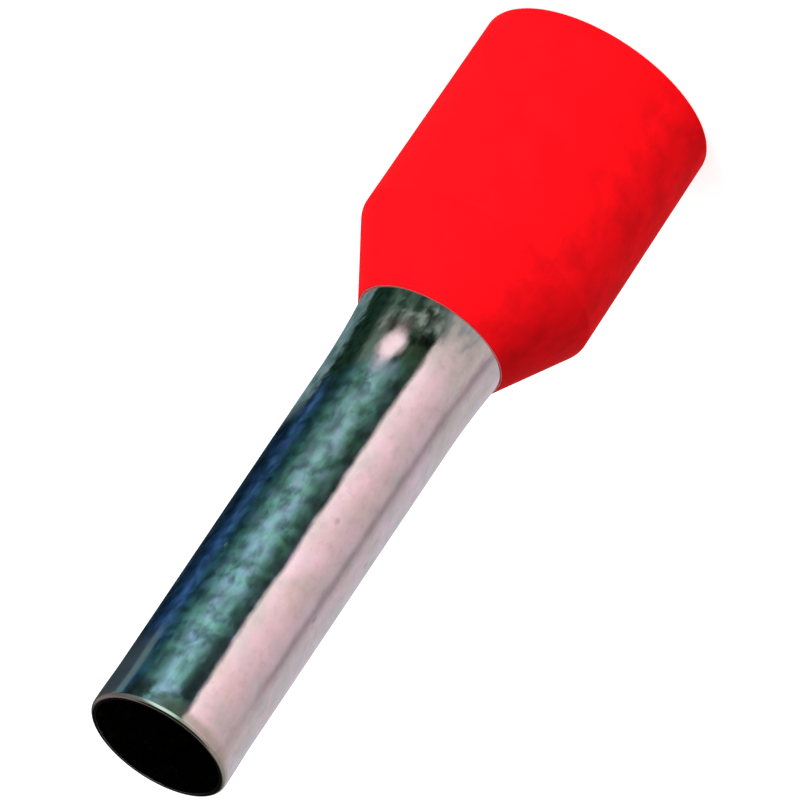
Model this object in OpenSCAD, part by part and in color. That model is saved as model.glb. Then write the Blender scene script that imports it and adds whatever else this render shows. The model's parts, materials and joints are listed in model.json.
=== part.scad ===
// Insulated wire-end ferrule for one 10 mm2 stranded conductor.
//
// A thin tinned-copper sleeve, flared at one end, sits in a moulded plastic collar.
// The axis is Z. The collar stands on its open rim at Z = 0, and the bare sleeve points up.
// Both pieces are solids of revolution, so each is one closed outline turned round Z.
// A point of an outline is [radius, height]. An angle is counted from the outward direction.

/* [Metal barrel] */
// Inside diameter of the barrel, which the conductor fills
bore_d = 4.5; // [3.5:0.1:5.4]
// Wall of the barrel
barrel_wall = 0.2; // [0.15:0.01:0.3]
// Bare length, from the lip of the collar to the tip
pin_len = 17.3; // [8:0.1:25]
// How far the cut tip stands proud of the barrel, as a radius
tip_bead = 0.03; // [0.01:0.01:0.06]
// Length of the bead at the tip
tip_bead_len = 0.3; // [0.2:0.05:0.6]
// Length over which the bead runs out into the plain barrel
tip_blend_len = 0.4; // [0.2:0.05:0.8]

/* [Flare of the barrel] */
// Length over which the barrel starts to open before it enters the collar
flare_show = 3; // [1.5:0.1:4]
// Radius of that first, gentle curve, on the outer face
open_r = 29; // [20:1:40]
// Radius of the tighter curve inside the collar, on the outer face
bend_r = 4; // [3:0.1:6]
// Length of the straight cone at the end of the flare, along its slope
flare_cone_len = 0.8; // [0.4:0.1:1.1]

/* [Plastic collar] */
// Length of the collar, with its taper
collar_len = 10.7; // [8:0.1:14]
// Inside diameter of the socket for the wire's insulation
socket_d = 7.6; // [6.3:0.1:9.2]
// Wall of the collar at its shoulder
collar_wall = 0.4; // [0.3:0.05:0.6]
// Length of the taper, from the shoulder to the lip
taper_len = 2.85; // [2.3:0.05:3.5]
// Wall of the lip that closes on the barrel
lip_wall = 0.15; // [0.1:0.01:0.2]
// Moulding draft: how much smaller the open rim is than the shoulder, as a radius
draft = 0.08; // [0:0.01:0.12]

/* [Edges and fit] */
// Rounding of the shoulder
shoulder_round = 0.5; // [0.2:0.05:0.8]
// Rounding of both edges of the open rim
rim_round = 0.08; // [0.04:0.01:0.1]
// Rounding of the outer edge of the lip
lip_round = 0.05; // [0.02:0.01:0.08]
// Clearance between the barrel and the seat in the collar
seat_gap = 0.01; // [0.01:0.01:0.03]

/* [Hidden] */
$fn = 96;

// Straight stretches that stand for one curve of the flare, and for one rounded edge.
curve_steps = 10;
edge_steps = 6;

// The barrel: straight from the tip down to the flare, where the curves start.
total_len = collar_len + pin_len;
bore_r = bore_d / 2;
barrel_r = bore_r + barrel_wall;
flare_top = collar_len + flare_show;
tip_r = barrel_r + tip_bead;
tip_round = (tip_r - bore_r) / 2;
tip_c = [bore_r + tip_round, total_len - tip_round];

// The first curve reaches the collar's lip at an angle of open_turn to the axis.
open_c = [barrel_r + open_r, flare_top];
open_turn = asin(flare_show / open_r);
neck_r = barrel_r + open_r * (1 - cos(open_turn));

// The collar's outside: rim, shoulder and lip.
socket_r = socket_d / 2;
shoulder_r = socket_r + collar_wall;
rim = [shoulder_r - draft, 0];
shoulder = [shoulder_r, collar_len - taper_len];
lip = [neck_r + seat_gap + lip_wall, collar_len];

// The second curve turns on until the flare runs parallel to the collar's taper.
taper_deg = atan((shoulder[0] - lip[0]) / taper_len);
bend_c = open_c + (bend_r - open_r) * outward(open_turn);

// The collar's seat follows the second curve, from the lip down to a cone that meets the socket.
seat_r = bend_r - seat_gap;
seat_turn = asin((bend_c[1] - collar_len) / seat_r);
seat_end = bend_c - seat_r * outward(taper_deg);
cone_foot = [socket_r, seat_end[1] - (socket_r - seat_end[0]) / tan(taper_deg)];

// The unit vector at an angle, and a vector made one unit long.
function outward(deg) = [cos(deg), sin(deg)];
function unit(v) = v / norm(v);

// Points along an arc about centre c, from one angle to another.
function arc(c, r, from, to, steps) =
    [for (i = [0 : steps]) c + r * outward(from + (to - from) * i / steps)];

// Points that round the corner p of an outline which comes from a and goes on to b.
function rounded(p, a, b, r) =
    let (
        to_a = unit(a - p),
        to_b = unit(b - p),
        half = acos(to_a * to_b) / 2,
        c = p + unit(to_a + to_b) * r / sin(half),
        first = p + to_a * r / tan(half) - c,
        last = p + to_b * r / tan(half) - c
    )
    [for (i = [0 : edge_steps]) c + r * unit(first * (edge_steps - i) + last * i)];

// One face of the flare, from the barrel down to the end of the cone.
// It lies at a depth into the wall: 0 is the outer face, barrel_wall is the inner one.
function flare_face(depth) = concat(
    arc(open_c, open_r + depth, 180, 180 + open_turn, curve_steps),
    arc(bend_c, bend_r + depth, 180 + open_turn, 180 + taper_deg, curve_steps)
);

function reversed(points) = [for (i = [len(points) - 1 : -1 : 0]) points[i]];

// Metal sleeve: one piece of seamless tube with a beaded tip and a flared end.
module barrel() {
    end_c = bend_c - (bend_r + barrel_wall / 2) * outward(taper_deg)
        + flare_cone_len * outward(taper_deg - 90);
    color("silver") rotate_extrude() polygon(concat(
        arc(tip_c, tip_round, 0, 180, 2 * edge_steps),
        flare_face(barrel_wall),
        arc(end_c, barrel_wall / 2, 180 + taper_deg, 360 + taper_deg, 2 * edge_steps),
        reversed(flare_face(0)),
        [
            [barrel_r, total_len - tip_bead_len - tip_blend_len],
            [tip_r, total_len - tip_bead_len]
        ]
    ));
}

// Insulating collar: one moulding, with a socket for the insulation and a seat for the flare.
module collar() {
    rim_inside = [socket_r, 0];
    lip_inside = [neck_r, collar_len];
    color("red") rotate_extrude() polygon(concat(
        rounded(rim, rim_inside, shoulder, rim_round),
        rounded(shoulder, rim, lip, shoulder_round),
        rounded(lip, shoulder, lip_inside, lip_round),
        arc(bend_c, seat_r, 180 + seat_turn, 180 + taper_deg, curve_steps),
        [cone_foot],
        rounded(rim_inside, cone_foot, rim, rim_round)
    ));
}

barrel();
collar();
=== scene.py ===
import json
import math

import bpy
from mathutils import Matrix, Vector


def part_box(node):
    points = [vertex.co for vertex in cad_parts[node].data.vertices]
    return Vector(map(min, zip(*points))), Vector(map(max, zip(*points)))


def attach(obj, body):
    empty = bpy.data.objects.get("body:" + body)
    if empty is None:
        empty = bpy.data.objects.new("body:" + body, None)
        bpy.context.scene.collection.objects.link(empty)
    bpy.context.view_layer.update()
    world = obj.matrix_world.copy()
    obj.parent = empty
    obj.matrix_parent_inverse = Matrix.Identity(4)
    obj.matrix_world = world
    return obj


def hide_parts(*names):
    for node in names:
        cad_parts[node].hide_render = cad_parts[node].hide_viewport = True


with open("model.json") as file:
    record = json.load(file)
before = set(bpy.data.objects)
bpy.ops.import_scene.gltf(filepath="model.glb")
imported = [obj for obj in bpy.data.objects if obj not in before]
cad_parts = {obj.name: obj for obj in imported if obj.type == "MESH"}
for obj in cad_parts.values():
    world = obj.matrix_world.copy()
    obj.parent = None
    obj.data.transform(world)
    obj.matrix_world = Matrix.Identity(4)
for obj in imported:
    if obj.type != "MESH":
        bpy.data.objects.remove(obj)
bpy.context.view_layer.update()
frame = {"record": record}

MM = 0.001

# ---------------------------------------------------------------------------
# Sizes, in millimetres. What the frame states is read from it, and the rest
# repeats the source of the part, except where a comment says otherwise.
# ---------------------------------------------------------------------------
MOUNTS = {m["name"]: m for m in frame["record"]["mounts"]}
BORE_R = MOUNTS["conductor_bore"]["dims"]["r_mm"]
BARREL_R = MOUNTS["sleeve_outside"]["dims"]["r_mm"]
SOCKET_R = MOUNTS["insulation_socket"]["dims"]["r_mm"]
WALL = BARREL_R - BORE_R
TOTAL_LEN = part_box("barrel")[1].z / MM
COLLAR_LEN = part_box("collar")[1].z / MM
COLLAR_WALL = 0.4
SHOULDER_R = SOCKET_R + COLLAR_WALL
TIP_BEAD = 0.03
TIP_BEAD_LEN = 0.3
TIP_BLEND_LEN = 1.6     # over which the bead runs out: longer than in the part
TIP_ROLL = 0.16         # rounding of the tip's outer edge: more than in the part
TIP_INNER_ROUND = 0.008     # rounding of its inner edge: less than in the part
FLARE_SHOW = 3.0
OPEN_R = 29.0
BEND_R = 4.0
FLARE_CONE_LEN = 0.8
TAPER_LEN = 2.85
LIP_WALL = 0.06         # thinner than in the part
DRAFT = 0.08
SHOULDER_ROUND = 0.3    # less than in the part
RIM_ROUND = 0.08
LIP_ROUND = 0.03        # less than in the part
SEAT_GAP = 0.01

SEGMENTS = 256          # round the axis
RING_STEP = 0.3         # longest stretch of a straight run between two rings
GUARD = 0.01            # from a sharp corner to the ring that guards it
SHARP = math.radians(3)     # least turn of a sharp corner
CURVE_STEPS = 20        # in each curve of the flare, and in the run-out of the bead
EDGE_STEPS = 8          # in each rounded edge


# ---------------------------------------------------------------------------
# Outlines: points of (radius, height) in millimetres
# ---------------------------------------------------------------------------
def outward(deg):
    """The unit vector at an angle, counted from the outward direction."""
    return Vector((math.cos(math.radians(deg)), math.sin(math.radians(deg))))


def arc(centre, r, start, end, steps):
    """Points along an arc, from one angle to another in degrees."""
    return [centre + r * outward(start + (end - start) * i / steps) for i in range(steps + 1)]


def rounded(p, a, b, r):
    """Points that round corner p of an outline which comes from a and goes on to b."""
    to_a, to_b = (a - p).normalized(), (b - p).normalized()
    half = to_a.angle(to_b) / 2
    centre = p + (to_a + to_b).normalized() * r / math.sin(half)
    first = p + to_a * r / math.tan(half) - centre
    last = p + to_b * r / math.tan(half) - centre
    shares = [i / EDGE_STEPS for i in range(EDGE_STEPS + 1)]
    return [centre + r * first.slerp(last, share).normalized() for share in shares]


def with_rings(points, step):
    """Adds points along the straight runs of a closed outline, none longer than step.

    Next to a sharp corner a run also gets a guard point, so that smooth shading bends only there.
    """
    out = []
    count = len(points)
    for i, p in enumerate(points):
        q = points[(i + 1) % count]
        before = p - points[i - 1]
        run = q - p
        after = points[(i + 2) % count] - q
        n = max(1, math.ceil(run.length / step))
        shares = [k / n for k in range(1, n)]
        if run.length > 4 * GUARD:
            if before.angle(run) > SHARP:
                shares.insert(0, GUARD / run.length)
            if run.angle(after) > SHARP:
                shares.append(1 - GUARD / run.length)
        out.append(p)
        out += [p.lerp(q, share) for share in shares]
    return out


class Shape:
    """The curves that both pieces share."""
    flare_top = COLLAR_LEN + FLARE_SHOW
    open_c = Vector((BARREL_R + OPEN_R, flare_top))
    open_turn = math.degrees(math.asin(FLARE_SHOW / OPEN_R))
    neck_r = BARREL_R + OPEN_R * (1 - math.cos(math.radians(open_turn)))
    rim = Vector((SHOULDER_R - DRAFT, 0))
    shoulder = Vector((SHOULDER_R, COLLAR_LEN - TAPER_LEN))
    lip = Vector((neck_r + SEAT_GAP + LIP_WALL, COLLAR_LEN))
    taper_deg = math.degrees(math.atan((shoulder.x - lip.x) / TAPER_LEN))
    bend_c = open_c + (BEND_R - OPEN_R) * outward(open_turn)


def flare_face(depth):
    """One face of the flare, from the plain sleeve down to the cone, at a depth into the wall."""
    s = Shape
    return (arc(s.open_c, OPEN_R + depth, 180, 180 + s.open_turn, CURVE_STEPS)
            + arc(s.bend_c, BEND_R + depth, 180 + s.open_turn, 180 + s.taper_deg, CURVE_STEPS)[1:])


def sleeve_outline():
    """Round the tip, down the inside of the bore, and up the outside."""
    s = Shape
    end_c = (s.bend_c - (BEND_R + WALL / 2) * outward(s.taper_deg)
             + FLARE_CONE_LEN * outward(s.taper_deg - 90))
    tip_r = BARREL_R + TIP_BEAD
    outer_edge = Vector((tip_r, TOTAL_LEN))
    inner_edge = Vector((BORE_R, TOTAL_LEN))
    bead_end = Vector((tip_r, TOTAL_LEN - TIP_BEAD_LEN))
    run_out = []
    for i in range(CURVE_STEPS + 1):
        t = i / CURVE_STEPS
        swell = (1 - math.cos(math.pi * t)) / 2
        run_out.append(Vector((BARREL_R + TIP_BEAD * swell, bead_end.y - TIP_BLEND_LEN * (1 - t))))
    return (rounded(outer_edge, bead_end, inner_edge, TIP_ROLL)
            + rounded(inner_edge, outer_edge, Vector((BORE_R, 0)), TIP_INNER_ROUND)
            + flare_face(WALL)
            + arc(end_c, WALL / 2, 180 + s.taper_deg, 360 + s.taper_deg, 2 * EDGE_STEPS)
            + flare_face(0)[::-1]
            + run_out)


def collar_outline():
    """Up the outside from the rim, over the lip, and down through the seat and the socket."""
    s = Shape
    seat_r = BEND_R - SEAT_GAP
    seat_turn = math.degrees(math.asin((s.bend_c.y - COLLAR_LEN) / seat_r))
    seat_end = s.bend_c - seat_r * outward(s.taper_deg)
    foot_z = seat_end.y - (SOCKET_R - seat_end.x) / math.tan(math.radians(s.taper_deg))
    cone_foot = Vector((SOCKET_R, foot_z))
    rim_inside = Vector((SOCKET_R, 0))
    lip_inside = Vector((s.neck_r, COLLAR_LEN))
    return (rounded(s.rim, rim_inside, s.shoulder, RIM_ROUND)
            + rounded(s.shoulder, s.rim, s.lip, SHOULDER_ROUND)
            + rounded(s.lip, s.shoulder, lip_inside, LIP_ROUND)
            + arc(s.bend_c, seat_r, 180 + seat_turn, 180 + s.taper_deg, CURVE_STEPS)
            + [cone_foot]
            + rounded(rim_inside, cone_foot, s.rim, RIM_ROUND))


# ---------------------------------------------------------------------------
# Meshes
# ---------------------------------------------------------------------------
def lathe(name, outline):
    """A closed surface of revolution, turned from an outline that runs counterclockwise."""
    points = with_rings(outline, RING_STEP)
    verts = []
    for p in points:
        for k in range(SEGMENTS):
            a = 2 * math.pi * k / SEGMENTS
            verts.append((p.x * math.cos(a) * MM, p.x * math.sin(a) * MM, p.y * MM))
    faces = []
    n = len(points)
    for i in range(n):
        j = (i + 1) % n
        for k in range(SEGMENTS):
            m = (k + 1) % SEGMENTS
            faces.append((i * SEGMENTS + k, i * SEGMENTS + m, j * SEGMENTS + m, j * SEGMENTS + k))
    mesh = bpy.data.meshes.new(name)
    mesh.from_pydata(verts, [], faces)
    mesh.update()
    for poly in mesh.polygons:
        poly.use_smooth = True
    obj = bpy.data.objects.new(name, mesh)
    bpy.context.scene.collection.objects.link(obj)
    return obj


# ---------------------------------------------------------------------------
# Node helpers
# ---------------------------------------------------------------------------
class Nodes:
    """Builds one node tree. A value is a socket, which is linked, or a number or colour, which is set."""

    def __init__(self, tree):
        self.tree = tree
        self.tree.nodes.clear()

    def add(self, kind, **settings):
        node = self.tree.nodes.new(kind)
        for key, value in settings.items():
            setattr(node, key, value)
        return node

    def put(self, value, socket):
        if isinstance(value, bpy.types.NodeSocket):
            self.tree.links.new(value, socket)
        elif value is not None:
            socket.default_value = value

    def math(self, op, a, b=None, clamp=False):
        node = self.add("ShaderNodeMath", operation=op, use_clamp=clamp)
        for value, socket in zip((a, b), node.inputs):
            self.put(value, socket)
        return node.outputs[0]

    def blend(self, factor, a, b, mode="MIX"):
        """Colour a where the factor is 0, and a mixed with b by the mode where it is 1."""
        node = self.add("ShaderNodeMix", data_type="RGBA", blend_type=mode)
        self.put(factor, node.inputs["Factor"])
        self.put(a, node.inputs[6])
        self.put(b, node.inputs[7])
        return node.outputs[2]

    def span(self, value, low, high, to_low=0.0, to_high=1.0, smooth=True):
        """Goes from to_low to to_high while the value goes from low to high, and no further."""
        node = self.add("ShaderNodeMapRange",
                        interpolation_type="SMOOTHSTEP" if smooth else "LINEAR")
        for v, socket in zip((value, low, high, to_low, to_high), node.inputs):
            self.put(v, socket)
        return node.outputs[0]

    def window(self, value, a, b, c, d):
        """Rises from 0 to 1 between a and b, and falls again between c and d."""
        return self.math("MULTIPLY", self.span(value, a, b), self.span(value, d, c))

    def grey(self, value):
        node = self.add("ShaderNodeCombineColor")
        for socket in node.inputs:
            self.put(value, socket)
        return node.outputs[0]

    def noise(self, vector, scale, detail=2.0, rough=0.5, distortion=0.0):
        node = self.add("ShaderNodeTexNoise")
        self.put(vector, node.inputs["Vector"])
        self.put(scale, node.inputs["Scale"])
        self.put(detail, node.inputs["Detail"])
        self.put(rough, node.inputs["Roughness"])
        self.put(distortion, node.inputs["Distortion"])
        return node.outputs[0]

    def cells(self, vector, scale):
        """Distance to the nearest of many scattered points."""
        node = self.add("ShaderNodeTexVoronoi")
        self.put(vector, node.inputs["Vector"])
        self.put(scale, node.inputs["Scale"])
        return node.outputs[0]

    def ramp(self, value, stops):
        """Colours by value. Each stop is a position from 0 to 1 and a linear colour."""
        node = self.add("ShaderNodeValToRGB")
        elements = node.color_ramp.elements
        while len(elements) < len(stops):
            elements.new(0.5)
        for element, (pos, colour) in zip(elements, stops):
            element.position = pos
            element.color = (*colour, 1)
        self.put(value, node.inputs[0])
        return node.outputs[0]

    def scaled(self, vector, factors):
        node = self.add("ShaderNodeVectorMath", operation="MULTIPLY")
        self.put(vector, node.inputs[0])
        self.put(factors, node.inputs[1])
        return node.outputs[0]

    def place(self):
        """The point on the object, in millimetres."""
        return self.scaled(self.add("ShaderNodeTexCoord").outputs["Object"], (1 / MM,) * 3)

    def bumped(self, shader, height, depth):
        """Gives a shader a relief whose height runs from 0 to 1 over a depth in millimetres."""
        bump = self.add("ShaderNodeBump")
        bump.inputs["Strength"].default_value = 1.0
        bump.inputs["Distance"].default_value = depth * MM
        self.put(height, bump.inputs["Height"])
        self.put(bump.outputs[0], shader.inputs["Normal"])

    def finish(self, shader):
        self.put(shader.outputs[0], self.add("ShaderNodeOutputMaterial").inputs[0])


def srgb(r, g, b):
    """A colour as it looks on screen, 0 to 255, as linear light. Above 255 it is brighter than white."""
    def line(v):
        v /= 255
        return v / 12.92 if v <= 0.04045 else ((v + 0.055) / 1.055) ** 2.4
    return (line(r), line(g), line(b))


def new_material(name):
    mat = bpy.data.materials.new(name)
    mat.use_nodes = True
    return mat, Nodes(mat.node_tree)


# ---------------------------------------------------------------------------
# Materials
# ---------------------------------------------------------------------------
TIN_RELIEF = 0.005      # depth of the waves and draw lines, in millimetres
PLASTIC_RELIEF = 0.002  # depth of the orange peel
PLASTIC_GLOSS = 0.006   # specular level
LIP_HIGHLIGHT_IN = 0.025     # the painted highlight covers the lip's inner edge up to here, from the neck of the sleeve
LIP_HIGHLIGHT_OUT = 0.045    # and fades out by here
LIP_HIGHLIGHT_LOW = 0.06     # the painted highlight starts this far below the end of the collar
LIP_HIGHLIGHT_FULL = 0.03    # and is full this far below it


def tin_plate():
    """Bright tin on copper: clouded, slightly wavy, with fine draw lines along the sleeve."""
    mat, n = new_material("tin_plate")
    place = n.place()
    along = n.scaled(place, (1, 1, 0.6))
    lines = n.scaled(place, (1, 1, 0.02))
    broad = n.noise(along, 0.5, detail=3, rough=0.6)
    cloud = n.noise(along, 2.0, detail=4, rough=0.6, distortion=0.4)
    grain = n.noise(place, 3.5, detail=2, rough=0.5)
    draw = n.noise(lines, 12, detail=2, rough=0.6)
    wave = n.noise(along, 1.6, detail=3, rough=0.5, distortion=0.4)
    pit = n.span(n.cells(along, 0.7), 0.10, 0.04)

    tint = n.ramp(cloud, [(0.32, (0.74, 0.77, 0.76)), (0.46, (0.79, 0.77, 0.755)),
                          (0.58, (0.83, 0.78, 0.78)), (0.70, (0.76, 0.70, 0.73))])
    warm = n.blend(n.span(broad, 0.46, 0.66, 0, 0.6), tint, (0.76, 0.73, 0.66, 1))
    dark = n.blend(n.span(grain, 0.50, 0.72, 0, 0.35), warm, (0.62, 0.59, 0.58, 1))
    base = n.blend(n.math("MULTIPLY", pit, 0.4), dark, (0.20, 0.19, 0.18, 1))
    relief = n.math("ADD", n.math("MULTIPLY", wave, 0.6), n.math("MULTIPLY", draw, 0.04))
    relief = n.math("SUBTRACT", relief, n.math("MULTIPLY", pit, 0.15))

    bsdf = n.add("ShaderNodeBsdfPrincipled")
    n.put(base, bsdf.inputs["Base Color"])
    bsdf.inputs["Metallic"].default_value = 1.0
    n.put(n.span(cloud, 0.35, 0.65, 0.05, 0.10), bsdf.inputs["Roughness"])
    n.bumped(bsdf, relief, TIN_RELIEF)
    n.finish(bsdf)
    return mat


def red_plastic():
    """Moulded polypropylene: smooth, mottled red, with a faint orange peel, and a painted highlight along
    the inner edge of the lip.
    """
    mat, n = new_material("red_plastic")
    place = n.place()
    cloud = n.noise(place, 0.9, detail=4, rough=0.6)
    grain = n.noise(place, 7.0, detail=2, rough=0.5)
    red = n.ramp(cloud, [(0.36, (0.76, 0.0042, 0.0080)), (0.60, (0.95, 0.0048, 0.0090))])
    split = n.add("ShaderNodeSeparateXYZ")
    n.put(place, split.inputs[0])
    x, y, z = split.outputs
    radius = n.math("SQRT", n.math("ADD", n.math("POWER", x, 2), n.math("POWER", y, 2)))
    # Painted highlight: a pale pink line along the lip's inner edge, next to the sleeve.
    at_seat = n.span(radius, Shape.neck_r + LIP_HIGHLIGHT_OUT, Shape.neck_r + LIP_HIGHLIGHT_IN)
    at_end = n.span(z, COLLAR_LEN - LIP_HIGHLIGHT_LOW, COLLAR_LEN - LIP_HIGHLIGHT_FULL)
    painted_lip_highlight = n.math("MULTIPLY", at_seat, at_end)
    base = n.blend(n.math("MULTIPLY", painted_lip_highlight, 0.8), red, (0.95, 0.50, 0.50, 1))

    bsdf = n.add("ShaderNodeBsdfPrincipled")
    n.put(base, bsdf.inputs["Base Color"])
    n.put(n.span(grain, 0.3, 0.7, 0.50, 0.62), bsdf.inputs["Roughness"])
    bsdf.inputs["Specular IOR Level"].default_value = PLASTIC_GLOSS
    n.bumped(bsdf, n.math("ADD", grain, n.math("MULTIPLY", cloud, 2)), PLASTIC_RELIEF)
    n.finish(bsdf)
    return mat


# ---------------------------------------------------------------------------
# Studio
# ---------------------------------------------------------------------------
ELEVATION = 26.4        # of the camera, above the floor
ROLL = -146.1           # of the camera about its view
LENS = 1000.0
SENSOR = 36.0
FRAME_W = 25.51         # width of the picture at the object, in millimetres
OFFSET = (-0.683, -0.563)   # of the object's middle from the picture's, in millimetres
CLIP = (0.01, 5)        # in metres

FLOOR_HALF = 1.5        # half the side of the floor, in metres
FLOOR_PALE = 0.85
FLOOR_GLOW = 0.6        # share of its white that the floor gives off as a background
WORLD_LIGHT = 0.75      # strength of the world as a light

KEY_POWER = 0.66        # watts
KEY_FROM = Vector((0.62, -0.77, 0.10))
KEY_DISTANCE = 0.25     # metres
KEY_SIZE = 0.08         # metres
KEY_AIM = Vector((0, 0, 0.01))      # metres

FLAG_TURN = 108         # side on which the flag stands, counted as in WallPaint
FLAG_LIFT = 51          # elevation at which it hangs, seen from the taper
FLAG_DISTANCE = 7.0     # from the middle of the taper, in millimetres
FLAG_SIZE = 9.4         # millimetres

WALL_R = 8.0            # radius of the wall of studio cards, in millimetres
WALL_TOP = 46.0
FOOT_R = 4.4            # inner edge of the wall's foot, which lies on the floor
FOOT_Z = 0.02
ROOF_HOLE_R = 0.05
WALL_STEPS = 180        # flats round the wall
SHEET_PER_DEGREE = 0.028    # width of noise on the wall to one degree of turn
BAND_SWAY = 9           # how far the edges of the bands wander, in degrees
SPOT_TURN = 219         # middle of the bright spot close to the collar
SPOT_H = 10.32
SPOT_WIDTH = 16         # its half width, in degrees
SPOT_HEIGHT = 0.36      # its half height, in millimetres


def make_camera():
    e = math.radians(ELEVATION)
    back = Vector((0, -math.cos(e), math.sin(e)))
    right0 = Vector((1, 0, 0))
    up0 = back.cross(right0)
    p = math.radians(ROLL)
    right = math.cos(p) * right0 + math.sin(p) * up0
    up = back.cross(right)
    middle = Vector((0, 0, TOTAL_LEN / 2 * MM))
    distance = FRAME_W * MM * LENS / SENSOR
    spot = middle - (OFFSET[0] * right + OFFSET[1] * up) * MM + distance * back
    cam = bpy.data.objects.new("camera", bpy.data.cameras.new("camera"))
    cam.data.lens = LENS
    cam.data.sensor_width = SENSOR
    cam.data.clip_start, cam.data.clip_end = CLIP
    cam.matrix_world = Matrix.Translation(spot) @ Matrix((right, up, back)).transposed().to_4x4()
    bpy.context.scene.collection.objects.link(cam)
    bpy.context.scene.camera = cam


def background_share(n):
    """1 for the rays that should see a white background, and 0 for the rays that carry light."""
    path = n.add("ShaderNodeLightPath").outputs
    seen = n.math("ADD", path["Is Camera Ray"], path["Is Glossy Ray"])
    return n.math("ADD", seen, path["Is Transmission Ray"], clamp=True)


def stage_object(name, points, faces, material):
    """A mesh of the studio, which isn't part of the object. Points are in metres."""
    mesh = bpy.data.meshes.new(name)
    mesh.from_pydata(points, [], faces)
    mesh.materials.append(material)
    obj = bpy.data.objects.new(name, mesh)
    bpy.context.scene.collection.objects.link(obj)
    return obj


def make_floor():
    """A pale floor that takes the object's shadow, with part of its white as a background."""
    mat, n = new_material("floor")
    diffuse = n.add("ShaderNodeBsdfDiffuse")
    diffuse.inputs[0].default_value = (FLOOR_PALE, FLOOR_PALE, FLOOR_PALE, 1)
    glow = n.add("ShaderNodeEmission")
    n.put(n.math("MULTIPLY", background_share(n), FLOOR_GLOW), glow.inputs["Strength"])
    add = n.add("ShaderNodeAddShader")
    n.put(diffuse.outputs[0], add.inputs[0])
    n.put(glow.outputs[0], add.inputs[1])
    n.finish(add)
    s = FLOOR_HALF
    stage_object("floor", [(-s, -s, 0), (s, -s, 0), (s, s, 0), (-s, s, 0)], [(0, 1, 2, 3)], mat)


def make_world():
    """Plain white all round: full strength as a background, and WORLD_LIGHT as a light."""
    world = bpy.data.worlds.new("studio")
    bpy.context.scene.world = world
    world.use_nodes = True
    n = Nodes(world.node_tree)
    plain = n.add("ShaderNodeBackground")
    plain.inputs[0].default_value = (1, 1, 1, 1)
    n.put(n.span(background_share(n), 0, 1, WORLD_LIGHT, 1.0, smooth=False), plain.inputs[1])
    n.put(plain.outputs[0], n.add("ShaderNodeOutputWorld").inputs[0])


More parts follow.
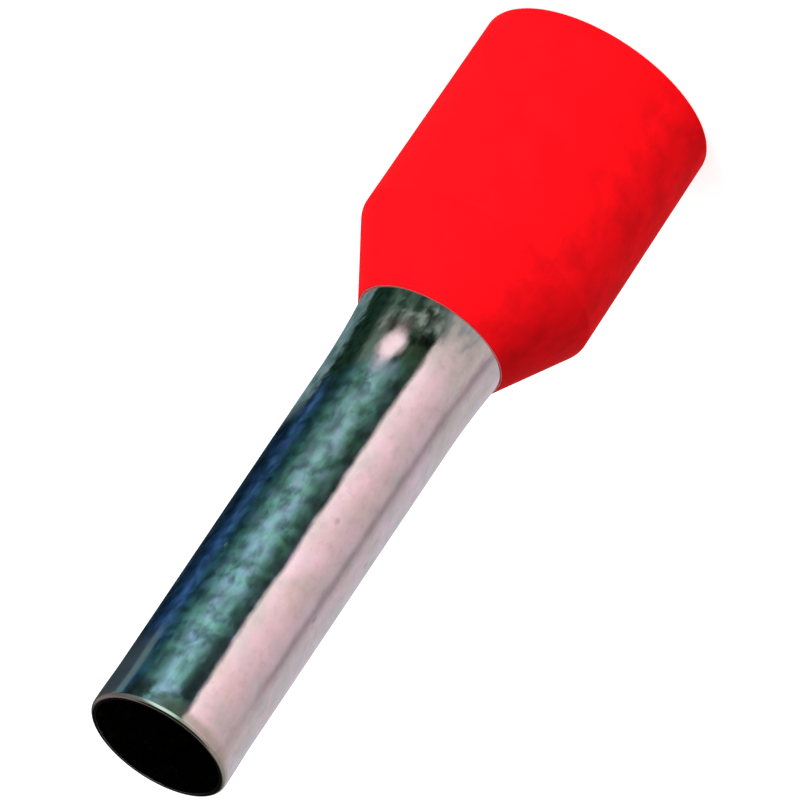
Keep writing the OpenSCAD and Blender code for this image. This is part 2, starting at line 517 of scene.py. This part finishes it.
class WallPaint:
    """What the bright metal shows: pale cards on one side, a dark clouded room on the other.

    turn goes round the wall in degrees: 0 is behind the object (+Y), 90 at -X, 180 on the
    camera's side and 270 at +X. h is a height above the floor in millimetres.
    """

    def __init__(self, n):
        self.n = n
        split = n.add("ShaderNodeSeparateXYZ")
        n.put(n.place(), split.inputs[0])
        x, y, self.h = split.outputs
        turn = n.math("ARCTAN2", n.math("MULTIPLY", x, -1), y)
        self.turn = n.math("MULTIPLY", n.math("FRACT", n.math("DIVIDE", turn, 2 * math.pi)), 360)
        self.patch = n.noise(self.sheet(1.0), 2.0, detail=4, rough=0.62, distortion=0.25)
        self.hue = n.noise(self.sheet(1.0), 1.8, detail=4, rough=0.62, distortion=0.2)
        self.broad = n.noise(self.sheet(1.0), 0.7, detail=3, rough=0.55)
        self.fleck = n.noise(self.sheet(2.1), 3.6, detail=2, rough=0.5, distortion=0.3)
        # Uneven edges for the patches.
        self.turn_rough = self.shaken(self.turn, self.fleck, 30)
        self.h_rough = self.shaken(self.h, self.patch, 0.5)
        self.paint = None

    def sheet(self, stretch):
        """Coordinates on the wall that make a noise look even on the sleeve."""
        n = self.n
        flat = n.add("ShaderNodeCombineXYZ")
        n.put(n.math("MULTIPLY", self.turn, SHEET_PER_DEGREE), flat.inputs[0])
        n.put(n.math("MULTIPLY", self.h, stretch), flat.inputs[1])
        return flat.outputs[0]

    def shaken(self, value, noise, amount):
        """The value, moved to and fro by a noise, over the amount in all."""
        n = self.n
        return n.math("ADD", value, n.math("MULTIPLY", n.math("SUBTRACT", noise, 0.5), amount))

    def round_ramp(self, turn, rows):
        """Colours round the wall. Each row is a turn and a screen colour."""
        stops = [(deg / 360, srgb(*colour)) for deg, colour in rows]
        return self.n.ramp(self.n.math("DIVIDE", turn, 360), stops)

    def two_tone(self, noise, low, high, dark, pale):
        """Dark where the noise is under low, pale where it is over high."""
        return self.n.blend(self.n.span(noise, low, high), (*srgb(*dark), 1), (*srgb(*pale), 1))

    def lay(self, colour, share, strength=1.0):
        """Paints over what is there, by the share times the strength."""
        n = self.n
        if isinstance(colour, tuple):
            colour = (*srgb(*colour), 1)
        self.paint = n.blend(n.math("MULTIPLY", share, strength), self.paint, colour)

    def lay_patch(self, colour, heights, turns, strength=1.0):
        """Paints a patch with uneven edges.

        Its heights and its turns are four values each: where it starts, where it is full,
        where it starts to fade and where it ends.
        """
        n = self.n
        share = n.math("MULTIPLY", n.window(self.h_rough, *heights), n.window(self.turn_rough, *turns))
        self.lay(colour, share, strength)

    def room(self):
        """The bands along the straight sleeve."""
        n = self.n
        swayed = self.shaken(self.turn, self.broad, BAND_SWAY)
        bands = self.round_ramp(swayed, [
            (0, (60, 80, 100)),
            (8, (190, 185, 195)),
            (50, (201, 196, 205)),
            (82, (206, 194, 203)),
            (92, (190, 176, 184)),
            (98, (166, 152, 160)),
            (102, (162, 148, 156)),
            (110, (198, 182, 189)),
            (122, (208, 186, 192)),
            (135, (226, 198, 204)),
            (150, (249, 216, 223)),
            (164, (260, 234, 241)),
            (170, (264, 243, 246)),
            (177, (52, 66, 70)),
            (185, (56, 82, 76)),
            (195, (82, 120, 114)),
            (206, (118, 160, 162)),
            (216, (134, 174, 184)),
            (227, (112, 156, 158)),
            (238, (80, 122, 120)),
            (250, (42, 78, 82)),
            (260, (32, 66, 78)),
            (267, (42, 78, 106)),
            (275, (50, 84, 128)),
            (285, (30, 58, 92)),
            (294, (20, 42, 66)),
            (308, (18, 36, 52)),
            (360, (50, 70, 90)),
        ])
        gain = n.span(self.patch, 0.34, 0.66, 0.45, 1.55)
        clouded = n.blend(1.0, bands, n.grey(gain), mode="MULTIPLY")
        # Painted reflection: the dark room's colour wanders from green through grey to lavender.
        reflected_tint = n.ramp(self.hue, [(0.34, (0.84, 1.04, 0.76)), (0.45, (0.93, 1.02, 0.95)),
                                  (0.54, (1.0, 1.0, 1.03)), (0.66, (1.30, 0.98, 1.26))])
        clouded = n.blend(1.0, clouded, reflected_tint, mode="MULTIPLY")
        climb = n.blend(n.span(self.h, 13, 21), (0.90, 0.91, 0.89, 1), (1.05, 1.10, 1.17, 1))
        clouded = n.blend(1.0, clouded, climb, mode="MULTIPLY")
        spark = n.span(n.cells(self.sheet(1.0), 0.9), 0.09, 0.03)
        clouded = n.blend(n.math("MULTIPLY", spark, 0.5), clouded, (*srgb(110, 160, 90), 1))
        soft = n.ramp(self.broad, [(0.32, (0.90, 0.94, 0.89)), (0.48, (1.0, 0.985, 0.98)),
                                   (0.66, (1.10, 1.03, 1.08))])
        cards = n.blend(1.0, bands, soft, mode="MULTIPLY")
        fine = n.span(self.hue, 0.3, 0.7, 0.94, 1.07, smooth=False)
        cards = n.blend(1.0, cards, n.grey(fine), mode="MULTIPLY")
        dark_side = n.math("MULTIPLY", n.span(swayed, 171, 177), n.span(swayed, 345, 320))
        self.paint = n.blend(dark_side, cards, clouded)

    def collar_end(self):
        """Low down: what the flare of the sleeve shows, close to the collar."""
        n = self.n
        beige = self.two_tone(self.fleck, 0.38, 0.62, (176, 178, 168), (212, 196, 194))
        self.lay_patch(beige, (0, 1, 9.9, 10.7), (100, 112, 168, 172), strength=0.7)
        mossy = self.two_tone(self.fleck, 0.38, 0.62, (22, 38, 26), (66, 90, 66))
        self.lay_patch(mossy, (0, 1, 10.4, 10.9), (168, 176, 262, 275))
        grey_green = self.two_tone(self.fleck, 0.42, 0.60, (46, 62, 54), (150, 166, 158))
        self.lay_patch(grey_green, (0, 1, 9.78, 9.95), (156, 174, 248, 264))
        grey_blue = self.two_tone(self.fleck, 0.42, 0.60, (120, 136, 138), (190, 182, 176))
        self.lay_patch(grey_blue, (0, 1, 9.5, 9.75), (116, 136, 172, 180), strength=0.8)
        shade = self.two_tone(self.fleck, 0.40, 0.60, (34, 56, 46), (84, 108, 96))
        self.lay_patch(shade, (0, 1, 9.42, 9.56), (200, 212, 262, 275))
        self.lay_patch((58, 50, 40), (9.70, 9.80, 9.94, 10.05), (203, 213, 238, 248), strength=0.8)
        self.lay_patch((10, 14, 12), (9.82, 9.92, 10.14, 10.26), (172, 178, 190, 196))
        self.lay_patch((24, 30, 28), (9.42, 9.48, 9.60, 9.68), (186, 190, 196, 200))
        self.lay_patch((112, 134, 122), (9.85, 10.05, 10.6, 10.9), (230, 237, 246, 256), strength=0.7)
        wide = n.math("DIVIDE", n.math("SUBTRACT", self.turn, SPOT_TURN), SPOT_WIDTH)
        high = n.math("DIVIDE", n.math("SUBTRACT", self.h, SPOT_H), SPOT_HEIGHT)
        reach = n.math("SQRT", n.math("ADD", n.math("POWER", wide, 2), n.math("POWER", high, 2)))
        reach = self.shaken(reach, self.hue, 0.9)
        self.lay_patch((176, 172, 190), (10.3, 10.5, 10.75, 11.2), (206, 214, 222, 232), strength=0.6)
        self.lay((276, 250, 258), n.span(reach, 1.25, 0.45))
        deep = self.two_tone(self.fleck, 0.35, 0.65, (12, 30, 22), (34, 62, 50))
        self.lay_patch(deep, (0, 1, 10.9, 12.7), (250, 260, 292, 304))
        rim_light = self.two_tone(self.patch, 0.35, 0.65, (80, 110, 110), (122, 152, 156))
        self.lay_patch(rim_light, (0, 1, 11.6, 13.2), (284, 294, 340, 350))

    def tip_end(self):
        """High up: what the last stretch before the mouth shows."""
        n = self.n
        above = n.span(self.h, 21.5, 23.2)
        self.lay((206, 186, 192), n.math("MULTIPLY", above, n.window(self.turn, 86, 94, 106, 114)), 0.6)
        self.lay((64, 76, 80), n.math("MULTIPLY", above, n.window(self.turn, 272, 282, 330, 345)), 0.75)
        self.lay((100, 126, 126), n.math("MULTIPLY", above, n.window(self.turn, 263, 270, 275, 283)), 0.85)
        self.lay_patch((150, 142, 122), (24.4, 25.1, 26, 28), (20, 60, 170, 178), strength=0.6)
        self.lay_patch((30, 38, 44), (21.8, 22.6, 24.0, 24.5), (174, 179, 188, 198), strength=0.6)
        self.lay_patch((84, 98, 84), (24.2, 24.9, 26, 28), (174, 180, 212, 225), strength=0.7)
        self.lay_patch((24, 26, 22), (23.6, 24.4, 26, 28), (222, 234, 256, 264), strength=0.8)
        self.lay_patch((88, 78, 72), (24.3, 24.9, 26, 28), (280, 286, 320, 340), strength=0.6)

    def over_tip(self):
        """Higher still: what the cut edge of the mouth shows."""
        n = self.n
        above = self.round_ramp(self.turn, [
            (0, (130, 124, 122)),
            (60, (146, 142, 136)),
            (110, (154, 148, 138)),
            (150, (184, 174, 164)),
            (176, (150, 168, 150)),
            (188, (215, 250, 228)),
            (214, (225, 255, 238)),
            (232, (120, 130, 122)),
            (270, (104, 96, 96)),
            (320, (140, 126, 124)),
            (360, (130, 124, 122)),
        ])
        self.lay(above, n.span(self.h, 26.5, 29.0))
        behind = n.math("ADD", n.span(self.turn, 60, 30), n.span(self.turn, 310, 335))
        self.lay((16, 16, 16), n.math("MULTIPLY", behind, n.window(self.h, 26.6, 29.0, 36.0, 38.0)))
        self.lay((28, 28, 28), n.span(self.h, 38, 44))


def wall_paint():
    mat, n = new_material("reflection_wall")
    wall = WallPaint(n)
    wall.room()
    wall.collar_end()
    wall.tip_end()
    wall.over_tip()
    glow = n.add("ShaderNodeEmission")
    n.put(wall.paint, glow.inputs[0])
    glow.inputs[1].default_value = 1.0
    n.finish(glow)
    return mat


def make_reflection_wall():
    """A round wall of studio cards close to the object, which only reflections see."""
    rings = ((FOOT_R, FOOT_Z), (WALL_R, FOOT_Z), (WALL_R, WALL_TOP), (ROOF_HOLE_R, WALL_TOP))
    points = []
    for r, z in rings:
        for k in range(WALL_STEPS):
            a = 2 * math.pi * k / WALL_STEPS
            points.append((r * math.cos(a) * MM, r * math.sin(a) * MM, z * MM))
    faces = []
    for row in range(0, (len(rings) - 1) * WALL_STEPS, WALL_STEPS):
        for k in range(WALL_STEPS):
            m = (k + 1) % WALL_STEPS
            faces.append((row + k, row + m, row + WALL_STEPS + m, row + WALL_STEPS + k))
    wall = stage_object("reflection_wall", points, faces, wall_paint())
    wall.visible_camera = False
    wall.visible_diffuse = False
    wall.visible_transmission = False
    wall.visible_shadow = False
    wall.visible_volume_scatter = False


def make_key():
    """The one lamp: soft, from the front and the right, and not seen in the metal."""
    data = bpy.data.lights.new("key", "AREA")
    data.shape = "SQUARE"
    data.size = KEY_SIZE
    data.energy = KEY_POWER
    lamp = bpy.data.objects.new("key", data)
    away = KEY_FROM.normalized()
    lamp.matrix_world = (Matrix.Translation(away * KEY_DISTANCE + KEY_AIM)
                         @ away.to_track_quat("Z", "Y").to_matrix().to_4x4())
    lamp.visible_glossy = False
    bpy.context.scene.collection.objects.link(lamp)


def make_flag():
    """A small black card that keeps light off the shaded side of the collar's taper."""
    turn, lift = math.radians(FLAG_TURN), math.radians(FLAG_LIFT)
    side = Vector((-math.sin(turn), math.cos(turn), 0))
    taper = side * (Shape.neck_r + SHOULDER_R) / 2 + Vector((0, 0, COLLAR_LEN - TAPER_LEN / 2))
    away = side * math.cos(lift) + Vector((0, 0, math.sin(lift)))
    across = side.cross(Vector((0, 0, 1))) * FLAG_SIZE / 2
    along = away.cross(across.normalized()) * FLAG_SIZE / 2
    middle = taper + away * FLAG_DISTANCE
    corners = [middle - across - along, middle + across - along,
               middle + across + along, middle - across + along]
    mat, n = new_material("flag")
    black = n.add("ShaderNodeBsdfDiffuse")
    black.inputs[0].default_value = (0, 0, 0, 1)
    n.finish(black)
    flag = stage_object("flag", [c * MM for c in corners], [(0, 1, 2, 3)], mat)
    flag.visible_camera = False
    flag.visible_glossy = False
    flag.visible_transmission = False


# ---------------------------------------------------------------------------
# The scene
# ---------------------------------------------------------------------------
make_camera()
make_floor()
make_world()
make_reflection_wall()
make_key()
make_flag()

sleeve = lathe("sleeve", sleeve_outline())
sleeve.data.materials.append(tin_plate())
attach(sleeve, "root")
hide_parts("barrel")

cap = lathe("insulating_collar", collar_outline())
cap.data.materials.append(red_plastic())
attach(cap, "root")
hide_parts("collar")

bpy.context.scene.view_settings.view_transform = "Standard"
